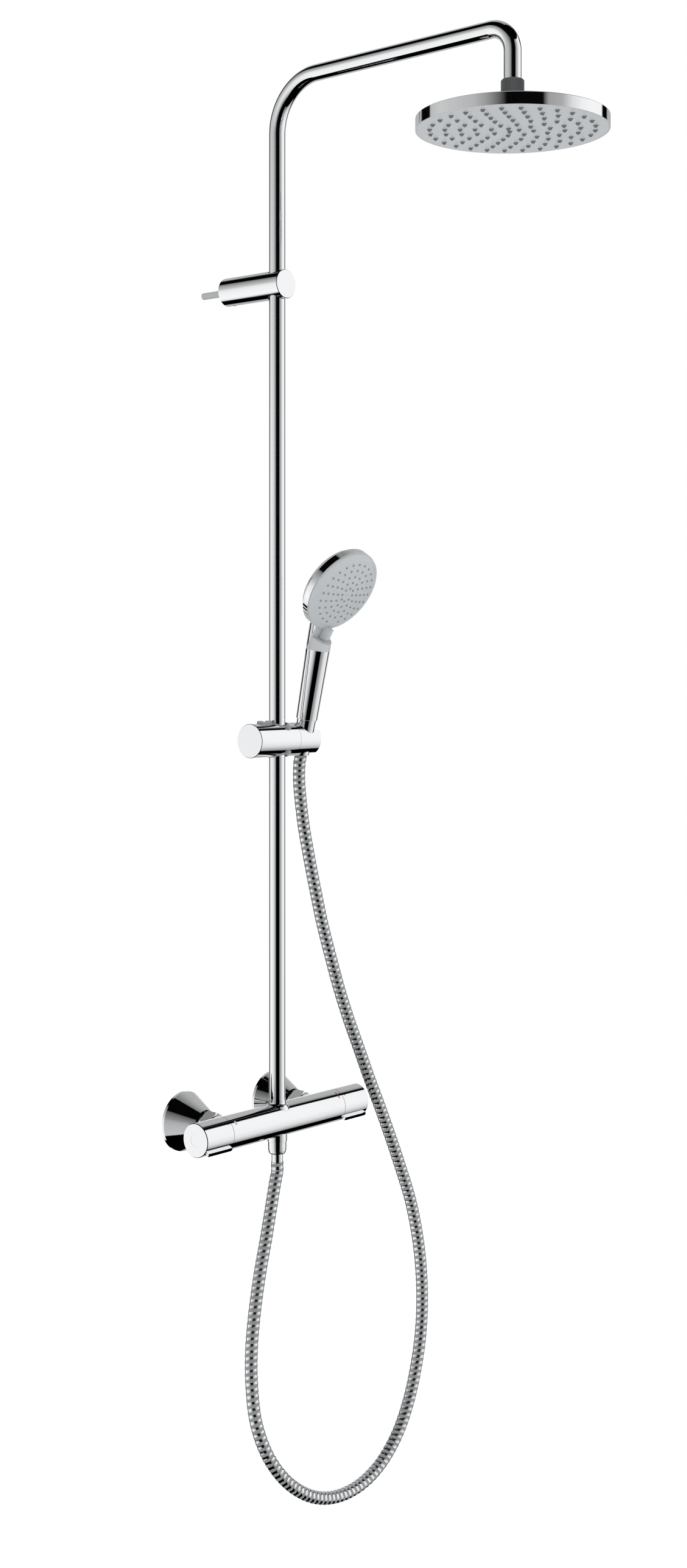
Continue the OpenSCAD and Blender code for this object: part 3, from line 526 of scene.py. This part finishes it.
class SHOWER_OT_chrome(bpy.types.Operator):
    """Chrome plating on every bright piece, with its slight waviness and wipe marks"""

    bl_idname = "shower.chrome"
    bl_label = "Chrome pieces"

    def execute(self, context):
        cfg = context.scene.shower_finish
        colour = tuple(cfg.chrome)
        body = plated("chrome_on_brass", colour, cfg.chrome_roughness, 0.015, 0.02)
        tube = plated("chrome_tube", colour, cfg.chrome_roughness, 0.008, 0.02)
        softer = cfg.chrome_roughness + 0.01
        shell = plated("hand_shower_chrome", colour, softer, 0.03, 0.02)
        head = plated("chromed_plastic", colour, softer, 0.03, 0.02)
        for n in ("thermostat_body", "temperature_handle", "temperature_plug", "diverter_handle",
                  "diverter_plug", "wall_roses", "union_nuts", "bracket_sleeve", "bracket_cap",
                  "slider_body", "slider_cap", "holder", "hose_cone_nut", "hose_nut",
                  "hose_ferrule", "head_ball"):
            give(n, body)
        for n in ("riser_pipe", "shower_arm"):
            give(n, tube)
        give("handset_shell", shell)
        give("head_shell", head)
        # kept out of the reflections in the bar and the riser
        for n in ("handset_shell", "handset_trim", "handset_face", "handset_nozzles"):
            NODES[n].visible_glossy = False
        return {"FINISHED"}


class SHOWER_OT_plastics(bpy.types.Operator):
    """Moulded plastics and rubber, inside and outside"""

    bl_idname = "shower.plastics"
    bl_label = "Plastic and rubber pieces"

    def execute(self, context):
        cfg = context.scene.shower_finish
        face = moulded("face_plastic", tuple(cfg.face_grey), 0.3, 0.012, 0.02)
        soft = moulded("soft_grey_plastic", tuple(cfg.soft_grey), 0.38, 0.12, 0.05)
        nut = moulded("ribbed_nut_plastic", tuple(cfg.nut_grey), 0.42, 0.2, 0.08)
        dark = moulded("dark_plastic", (0.03, 0.031, 0.034), 0.45, 0.2, 0.1)
        black = moulded("black_rubber", (0.012, 0.012, 0.012), 0.65, 0.3, 0.1, 2200.0)
        white = moulded("bearing_plastic", (0.8, 0.8, 0.77), 0.35, 0.1, 0.04)
        green = moulded("valve_plastic", (0.08, 0.4, 0.2), 0.4, 0.15, 0.06)
        plug = moulded("wall_plug_nylon", (0.42, 0.43, 0.44), 0.5, 0.25, 0.08)
        silicone = moulded("hand_silicone", (0.27, 0.285, 0.295), 0.5, 0.03, 0.03)
        for n, m in {
            "handset_trim": face, "handset_face": face, "head_face": face,
            "slider_bush": soft, "release_button": soft, "head_union_nut": nut,
            "thermostat_cartridge": dark, "diverter_cartridge": dark, "bracket_bush": dark,
            "head_back_plate": dark, "grip_sleeve": dark, "brake_shoe": dark,
            "pipe_o_rings": black, "hose_washer": black, "strainer_washers": black,
            "head_strainer": black, "handset_strainer": black, "ball_seat": white,
            "regulating_piston": white, "check_valves": green, "wall_plug": plug,
            "handset_nozzles": silicone, "head_nozzle_mat": silicone,
        }.items():
            give(n, m)
        return {"FINISHED"}


class SHOWER_OT_bare_metal(bpy.types.Operator):
    """Turned brass, steel, copper and ceramic of the working parts"""

    bl_idname = "shower.bare_metal"
    bl_label = "Working parts"

    def execute(self, context):
        brass = machined("turned_brass", (0.72, 0.5, 0.22), 0.26)
        steel = machined("stainless_steel", (0.56, 0.56, 0.55), 0.3)
        wire = machined("spring_wire", (0.5, 0.5, 0.5), 0.24, 2400.0)
        copper = machined("copper_capsule", (0.72, 0.36, 0.2), 0.3)
        ceramic = moulded("ground_ceramic", (0.83, 0.82, 0.78), 0.2, 0.05, 0.02, 3000.0)
        for n, m in {
            "s_unions": brass, "inlet_nipples": brass, "temperature_spindle": brass,
            "diverter_spindle": brass, "grub_screws": steel, "bracket_wall_mount": steel,
            "bracket_screw": steel, "temperature_screw": steel, "diverter_screw": steel,
            "holder_screw": steel, "return_spring": wire, "brake_spring": wire,
            "wax_element": copper, "diverter_fixed_disc": ceramic,
            "diverter_turning_disc": ceramic,
        }.items():
            give(n, m)
        return {"FINISHED"}


# ---------------------------------------------------------------- overhead nozzles

# radius in millimetres, number of nozzles and the first one's angle, for each ring
HEAD_RINGS = [
    (7, 3, 60), (22.5, 8, 2.5), (39.5, 13, 22.5), (55, 18, 12), (71, 23, 6.2), (87, 28, 2.8),
]
SIDE_POINTS = 4  # points along each side of a diamond
DIAMOND_POINTS = 4 * SIDE_POINTS
SIDE_DENT = 0.2  # how far a side curves in, as a share of the half size
# depth and size of a diamond's levels, as shares of its height and of its half size
DIAMOND_LEVELS = [(0.0, 1.0), (0.25, 0.8), (0.6, 0.62), (0.9, 0.5), (1.0, 0.44)]
OUTLET = ((1.0, 0.00065), (0.6, 0.0006))  # depth share and radius of the outlet's two rims
SUNK = 0.00005  # how far a nozzle starts inside the face
MAT_THICK = 0.0014
MAT_SIDES = 72


def diamond(verts, faces, cx, cy, plate, half, height):
    """One nozzle: a diamond with hollow sides that narrows to its outlet hole."""
    ring_n = DIAMOND_POINTS
    base = len(verts)
    for depth, scale in DIAMOND_LEVELS:
        for i in range(ring_n):
            side, t = divmod(i, SIDE_POINTS)
            t /= SIDE_POINTS
            a0, a1 = side * math.pi / 2, (side + 1) * math.pi / 2
            x = math.cos(a0) * (1 - t) + math.cos(a1) * t
            y = math.sin(a0) * (1 - t) + math.sin(a1) * t
            dent = 1 - SIDE_DENT * math.sin(math.pi * t)
            verts.append((cx + x * half * scale * dent, cy + y * half * scale * dent,
                          plate - height * depth + SUNK))
    for lv in range(len(DIAMOND_LEVELS) - 1):
        for i in range(ring_n):
            j = (i + 1) % ring_n
            low, high = base + lv * ring_n, base + (lv + 1) * ring_n
            faces.append((low + j, low + i, high + i, high + j))
    top = base + (len(DIAMOND_LEVELS) - 1) * ring_n
    hole = len(verts)
    for depth, rr in OUTLET:
        for i in range(ring_n):
            b = 2 * math.pi * i / ring_n
            verts.append((cx + rr * math.cos(b), cy + rr * math.sin(b),
                          plate - height * depth + SUNK))
    for i in range(ring_n):
        j = (i + 1) % ring_n
        faces.append((top + j, top + i, hole + i, hole + j))
        faces.append((hole + j, hole + i, hole + ring_n + i, hole + ring_n + j))
    faces.append(tuple(hole + ring_n + (ring_n - 1 - i) for i in range(ring_n)))


def nozzle_mat(verts, faces, cx, cy, r, top):
    """The round mat behind the face plate."""
    base, n = len(verts), MAT_SIDES
    for z in (top, top - MAT_THICK):
        for i in range(n):
            b = 2 * math.pi * i / n
            verts.append((cx + r * math.cos(b), cy + r * math.sin(b), z))
    faces.append(tuple(base + i for i in range(n)))
    faces.append(tuple(base + n + (n - 1 - i) for i in range(n)))
    for i in range(n):
        j = (i + 1) % n
        faces.append((base + j, base + i, base + n + i, base + n + j))


class SHOWER_OT_rain_nozzles(bpy.types.Operator):
    """Diamond nozzles of the overhead head, moulded on one silicone mat"""

    bl_idname = "shower.rain_nozzles"
    bl_label = "Rain nozzles"

    def execute(self, context):
        cfg = context.scene.shower_nozzle
        lo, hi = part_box("head_nozzle_mat")
        centre = (lo + hi) / 2
        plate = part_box("head_face")[0].z
        verts, faces = [], []
        for radius, count, start in HEAD_RINGS:
            for k in range(count):
                a = math.radians(start + 360 * k / count)
                cx = centre.x + radius * MM * math.cos(a)
                cy = centre.y + radius * MM * math.sin(a)
                diamond(verts, faces, cx, cy, plate, cfg.rain_size / 2, cfg.rain_height)
        nozzle_mat(verts, faces, centre.x, centre.y, (hi.x - lo.x) / 2, hi.z)
        obj = mesh_object("rain_nozzles", verts, faces, smooth=False)
        obj.data.materials.append(moulded("rain_silicone", (0.17, 0.182, 0.195), 0.5, 0.02, 0.03))
        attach(obj, "head")
        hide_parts("head_nozzle_mat")
        return {"FINISHED"}


# ---------------------------------------------------------------- printed and moulded marks

BAR = (-78.5, 19.03)  # the bar's axis y and the prints' radius, in millimetres
PRINT_STEPS = 10
# the hand shower's face: a point in millimetres, its direction and the way up it
HAND_FACE = (
    Vector((39, -146.462, 608.241)),
    Vector((0, -0.841511, -0.54024)),
    Vector((0, -0.54024, 0.841511)),
)
DOME_RADIUS = 265
DOME_HEIGHT = 6
FACE_LINES = ((27.4, 38, 258), (12.3, 62, 240))  # radius, first and last angle
LINE_SECTION = ((-0.34, -0.05), (-0.12, 0.12), (0.12, 0.12), (0.34, -0.05))  # across, out
LINE_STEP = 3  # degrees


def bar_patch(name, x0, x1, low, high, material, body):
    """A thin printed patch round the bar, from angle low to high above the front."""
    y, r = BAR
    verts, faces = [], []
    n = PRINT_STEPS
    for i in range(n + 1):
        a = math.radians(low + (high - low) * i / n)
        for x in (x0, x1):
            verts.append((x * MM, (y - r * math.cos(a)) * MM, r * math.sin(a) * MM))
    for i in range(n):
        faces.append((2 * i, 2 * i + 1, 2 * i + 3, 2 * i + 2))
    obj = mesh_object(name, verts, faces)
    obj.data.materials.append(material)
    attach(obj, body)
    return obj


def face_line_mesh():
    """Low ridges that follow arcs on the domed face of the hand shower."""
    origin, normal, up = HAND_FACE
    side = Vector((1, 0, 0))
    verts, faces = [], []
    for radius, a0, a1 in FACE_LINES:
        n = int((a1 - a0) / LINE_STEP)
        base = len(verts)
        for i in range(n + 1):
            a = math.radians(a0 + (a1 - a0) * i / n)
            for off, lift in LINE_SECTION:
                q = radius + off
                sphere = math.sqrt(DOME_RADIUS * DOME_RADIUS - q * q)
                z = DOME_HEIGHT - DOME_RADIUS + sphere + lift
                p = origin + side * (q * math.cos(a)) + up * (q * math.sin(a)) + normal * z
                verts.append(tuple(p * MM))
        for i in range(n):
            for j in range(3):
                k = base + 4 * i + j
                faces.append((k, k + 1, k + 5, k + 4))
    return verts, faces


class SHOWER_OT_marks(bpy.types.Operator):
    """Red index tick on the bar, ticks on both handles and the lines on the hand shower's face"""

    bl_idname = "shower.marks"
    bl_label = "Marks"

    def execute(self, context):
        red = moulded("red_print", (0.2, 0.008, 0.014), 0.45, 0.02, 0.05)
        ink = moulded("grey_print", (0.16, 0.165, 0.17), 0.5, 0.02, 0.05)
        pale = moulded("pale_print", (0.5, 0.51, 0.52), 0.5, 0.02, 0.05)
        bar_patch("index_tick", 92.2, 93.5, 37, 66, red, "column")
        bar_patch("flow_mark", -85.4, -82.6, 36, 50, pale, "column")
        bar_patch("temperature_tick", 102.6, 105.2, 43, 45.6, ink, "temperature")
        bar_patch("diverter_tick", -96.9, -94.3, 43.2, 45.8, ink, "diverter")
        verts, faces = face_line_mesh()
        obj = mesh_object("face_lines", verts, faces)
        obj.data.materials.append(FINISHES["face_plastic"])
        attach(obj, "face")
        return {"FINISHED"}


# ---------------------------------------------------------------- stage

VIEW_TURN = 49.5  # degrees from straight ahead to the camera's direction
FLOOR_SIZE = 12.0  # half of the floor's width
GLOSSY_SHARE = 1.05  # the mirrored room's brightness against the plain light's


def studio_world(strength):
    """Plain white light, with softboxes and dark gaps that only reflections see."""
    world = bpy.data.worlds.new("studio")
    bpy.context.scene.world = world
    world.use_nodes = True
    tree = world.node_tree
    tree.nodes.clear()
    out = tree.nodes.new("ShaderNodeOutputWorld")
    d = tree.nodes.new("ShaderNodeTexCoord").outputs["Generated"]

    def dot(v):
        n = tree.nodes.new("ShaderNodeVectorMath")
        n.operation = "DOT_PRODUCT"
        n.inputs[1].default_value = v
        tree.links.new(d, n.inputs[0])
        return n.outputs["Value"]

    a = math.radians(VIEW_TURN)
    towards = (-math.sin(a), -math.cos(a), 0)
    right = (math.cos(a), -math.sin(a), 0)
    turn = math_node(tree, "ARCTAN2", dot(right), dot(towards))
    turn = math_node(tree, "MULTIPLY_ADD", turn, 0.5 / math.pi, 0.5)
    height = math_node(tree, "ARCSINE", dot((0, 0, 1)))
    height = math_node(tree, "MULTIPLY_ADD", height, 1 / math.pi, 0.5)

    def ramp(value, stops):
        n = tree.nodes.new("ShaderNodeValToRGB")
        n.color_ramp.interpolation = "LINEAR"
        el = n.color_ramp.elements
        while len(el) > 1:
            el.remove(el[-1])
        for i, (pos, grey) in enumerate(stops):
            e = el[0] if i == 0 else el.new(pos)
            e.position = pos
            e.color = (grey, grey, grey, 1)
        tree.links.new(value, n.inputs["Fac"])
        return n.outputs["Color"]

    def turned(stops):
        return ramp(turn, [(deg / 360 + 0.5, grey) for deg, grey in stops])

    def raised(stops):
        return ramp(height, [(deg / 180 + 0.5, grey) for deg, grey in stops])

    def combine(blend, x, y):
        n = tree.nodes.new("ShaderNodeMix")
        n.data_type = "RGBA"
        n.blend_type = blend
        n.inputs["Factor"].default_value = 1.0
        tree.links.new(x, n.inputs["A"])
        tree.links.new(y, n.inputs["B"])
        return n.outputs["Result"]

    # each stop is an angle in degrees, from the camera's side or from level, and a brightness
    left = combine(
        "MULTIPLY",
        turned([
            (-180, 0), (-119, 0), (-117, 0.85), (-98, 1), (-80, 0.93), (-65, 0.87),
            (-50, 0.8), (-35, 0.55), (-20, 0.2), (-12, 0.0),
        ]),
        raised([
            (-90, 0), (-47, 0), (-44, 0.95), (-35, 1), (-10, 1), (5, 0.9), (15, 0.6),
            (27, 0.42), (37, 0.25), (41, 0.0),
        ]),
    )
    right_box = combine(
        "MULTIPLY",
        turned([
            (-180, 0), (31, 0), (38, 0.36), (55, 0.43), (70, 0.77), (85, 0.92), (100, 0.97),
            (123, 0.95), (125.5, 0.0),
        ]),
        raised([
            (-90, 0), (-41.5, 0), (-39, 0.38), (-31, 0.68), (-23, 0.85), (-13, 0.93),
            (-3, 1), (41, 1), (43, 0.0),
        ]),
    )
    # brightness by angle from straight behind the column
    behind = math_node(tree, "ARCCOSINE", dot(tuple(-v for v in towards)))
    behind = ramp(
        math_node(tree, "MULTIPLY", behind, 1 / math.pi),
        [(deg / 180, grey) for deg, grey in ((0, 1.0), (8, 0.9), (15, 0.5), (40, 0.42), (43, 0.0))],
    )
    # pale strip high behind the column, seen along the tops of the level pieces
    strip = combine(
        "MULTIPLY",
        turned([
            (-180, 0.48), (-150, 0.46), (-136, 0), (137, 0), (146, 0.36), (160, 0.46),
            (180, 0.48),
        ]),
        raised([
            (-90, 0), (13, 0), (24, 0.5), (30, 1), (44, 1), (60, 0.9), (80, 0.6), (90, 0.5),
        ]),
    )
    behind = combine("LIGHTEN", behind, strip)
    colour = combine("ADD", combine("ADD", left, right_box), behind)
    glossy = tree.nodes.new("ShaderNodeBackground")
    tree.links.new(colour, glossy.inputs["Color"])
    glossy.inputs["Strength"].default_value = strength * GLOSSY_SHARE
    plain = tree.nodes.new("ShaderNodeBackground")
    plain.inputs["Color"].default_value = (1, 1, 1, 1)
    plain.inputs["Strength"].default_value = strength
    rays = tree.nodes.new("ShaderNodeLightPath")
    both = tree.nodes.new("ShaderNodeMixShader")
    tree.links.new(rays.outputs["Is Glossy Ray"], both.inputs["Fac"])
    tree.links.new(plain.outputs[0], both.inputs[1])
    tree.links.new(glossy.outputs[0], both.inputs[2])
    tree.links.new(both.outputs[0], out.inputs["Surface"])


class SHOWER_OT_stage(bpy.types.Operator):
    """Camera, pale floor and soft studio light"""

    bl_idname = "shower.stage"
    bl_label = "Stage"

    def execute(self, context):
        cfg = context.scene.shower_stage
        scene = context.scene
        scene.view_settings.view_transform = "Standard"
        cam = bpy.data.cameras.new("camera")
        cam.sensor_width = 36
        cam.lens = 46.72
        cam.shift_y = -0.0842
        obj = bpy.data.objects.new("camera", cam)
        scene.collection.objects.link(obj)
        obj.location = (-1.737, -1.6626, 0.5399)
        obj.rotation_euler = (math.pi / 2, 0, math.radians(-VIEW_TURN))
        scene.camera = obj
        size, drop = FLOOR_SIZE, -cfg.floor_drop
        floor = mesh_object(
            "floor",
            [(-size, -size, drop), (size, -size, drop), (size, size, drop), (-size, size, drop)],
            [(0, 1, 2, 3)],
            smooth=False,
        )
        m = moulded("pale_floor", (0.93, 0.93, 0.93), 0.7, 0.05, 0.02, 120.0)
        bsdf = m.node_tree.nodes["Principled BSDF"]
        bsdf.inputs["Emission Color"].default_value = (1, 1, 1, 1)
        bsdf.inputs["Emission Strength"].default_value = 0.14
        floor.data.materials.append(m)
        floor.visible_glossy = False
        studio_world(cfg.brightness)
        return {"FINISHED"}


# ---------------------------------------------------------------- panel and registration

OPERATORS = [
    SHOWER_OT_stage,
    SHOWER_OT_hose,
    SHOWER_OT_chrome,
    SHOWER_OT_plastics,
    SHOWER_OT_bare_metal,
    SHOWER_OT_rain_nozzles,
    SHOWER_OT_marks,
]


class SHOWER_PT_panel(bpy.types.Panel):
    """Lists the column's pieces"""

    bl_idname = "SHOWER_PT_panel"
    bl_label = "Shower column"
    bl_space_type = "VIEW_3D"
    bl_region_type = "UI"
    bl_category = "Shower"

    def draw(self, context):
        for name in SETTINGS:
            group = getattr(context.scene, name)
            box = self.layout.box()
            for key in group.__annotations__:
                box.prop(group, key)
        for op in OPERATORS:
            self.layout.operator(op.bl_idname)


SETTINGS = {
    "shower_finish": ShowerFinishSettings,
    "shower_hose": ShowerHoseSettings,
    "shower_nozzle": ShowerNozzleSettings,
    "shower_stage": ShowerStageSettings,
}


def register():
    for name, cls in SETTINGS.items():
        bpy.utils.register_class(cls)
        setattr(bpy.types.Scene, name, bpy.props.PointerProperty(type=cls))
    for cls in OPERATORS + [SHOWER_PT_panel]:
        bpy.utils.register_class(cls)


def unregister():
    for cls in [SHOWER_PT_panel] + OPERATORS[::-1]:
        bpy.utils.unregister_class(cls)
    for name, cls in SETTINGS.items():
        delattr(bpy.types.Scene, name)
        bpy.utils.unregister_class(cls)


def main():
    register()
    for op in OPERATORS:
        group, name = op.bl_idname.split(".")
        getattr(getattr(bpy.ops, group), name)()
    bpy.context.view_layer.update()


if __name__ == "__main__":
    main()
